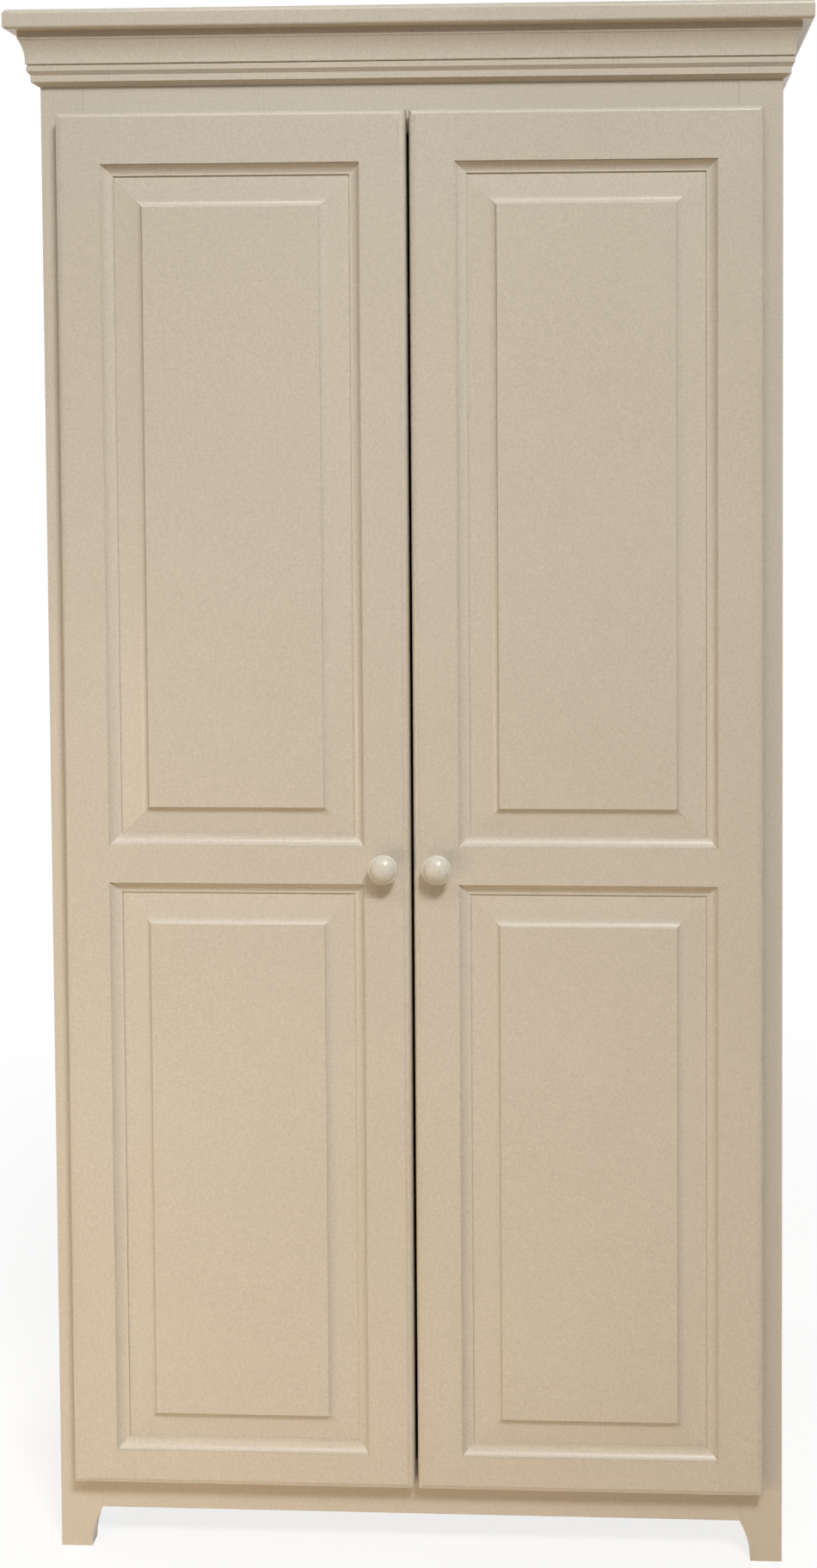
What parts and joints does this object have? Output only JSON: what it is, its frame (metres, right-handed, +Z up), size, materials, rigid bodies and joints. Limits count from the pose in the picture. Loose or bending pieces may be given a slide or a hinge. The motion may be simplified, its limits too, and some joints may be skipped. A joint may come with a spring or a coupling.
{
  "type": "armoire",
  "caption": "Tall painted wooden armoire with a mitred crown, raised-panel doors on concealed hinges, and a hat shelf and clothes rod inside.",
  "frame": {"origin": "on the floor, under the middle of the whole armoire's bounding box", "axes": "+X to the right of someone facing the doors, +Y from the doors to the back, +Z up"},
  "size_m": [0.93, 0.584, 1.829],
  "materials": {
    "paint": "warm beige satin paint on wood",
    "interior": "the same beige paint, thinner, inside the case",
    "plywood": "clear-coated birch plywood",
    "rod_wood": "sanded hardwood dowel",
    "knob_paint": "cream semi-gloss paint on turned wood",
    "hinge_steel": "nickel-plated",
    "zinc": "zinc-plated",
    "bumper": "soft translucent rubber"
  },
  "bodies": {
    "case": {"top_board": "paint", "crown_front": "paint", "crown_left": "paint", "crown_right": "paint", "side_panel_left": "paint", "side_panel_right": "paint", "frame_stile_left": "paint", "frame_stile_right": "paint", "frame_top_rail": "paint", "frame_bottom_rail": "paint", "bottom_panel": "interior", "hat_shelf": "interior", "shelf_cleat_left": "interior", "shelf_cleat_right": "interior", "back_top_rail": "interior", "back_bottom_rail": "interior", "back_panel": "plywood", "clothes_rod": "rod_wood", "rod_socket_left": "zinc", "rod_socket_right": "zinc", "rod_socket_screws": "zinc", "hinge_arm_screws": "zinc", "hinge_arm_left_top": "hinge_steel", "hinge_arm_left_middle": "hinge_steel", "hinge_arm_left_bottom": "hinge_steel", "hinge_arm_right_top": "hinge_steel", "hinge_arm_right_middle": "hinge_steel", "hinge_arm_right_bottom": "hinge_steel"},
    "door_left": {"hinge_stile_left": "paint", "meeting_stile_left": "paint", "door_top_rail_left": "paint", "door_lock_rail_left": "paint", "door_bottom_rail_left": "paint", "upper_panel_left": "paint", "lower_panel_left": "paint", "knob_left": "knob_paint", "knob_screw_left": "zinc", "hinge_cup_screws_left": "zinc", "hinge_pins_left": "zinc", "hinge_cup_left_top": "hinge_steel", "hinge_cup_left_middle": "hinge_steel", "hinge_cup_left_bottom": "hinge_steel", "bumpers_left": "bumper"},
    "door_right": {"hinge_stile_right": "paint", "meeting_stile_right": "paint", "door_top_rail_right": "paint", "door_lock_rail_right": "paint", "door_bottom_rail_right": "paint", "upper_panel_right": "paint", "lower_panel_right": "paint", "knob_right": "knob_paint", "knob_screw_right": "zinc", "hinge_cup_screws_right": "zinc", "hinge_pins_right": "zinc", "hinge_cup_right_top": "hinge_steel", "hinge_cup_right_middle": "hinge_steel", "hinge_cup_right_bottom": "hinge_steel", "bumpers_right": "bumper"}
  },
  "joints": [
    {"name": "door_left_hinge", "type": "hinge", "parent": "case", "child": "door_left", "pos_m": [-0.4005, -0.253, 0.901], "axis": [0, 0, -1], "range_deg": [0, 105]},
    {"name": "door_right_hinge", "type": "hinge", "parent": "case", "child": "door_right", "pos_m": [0.4005, -0.253, 0.901], "axis": [0, 0, 1], "range_deg": [0, 105]}
  ]
}
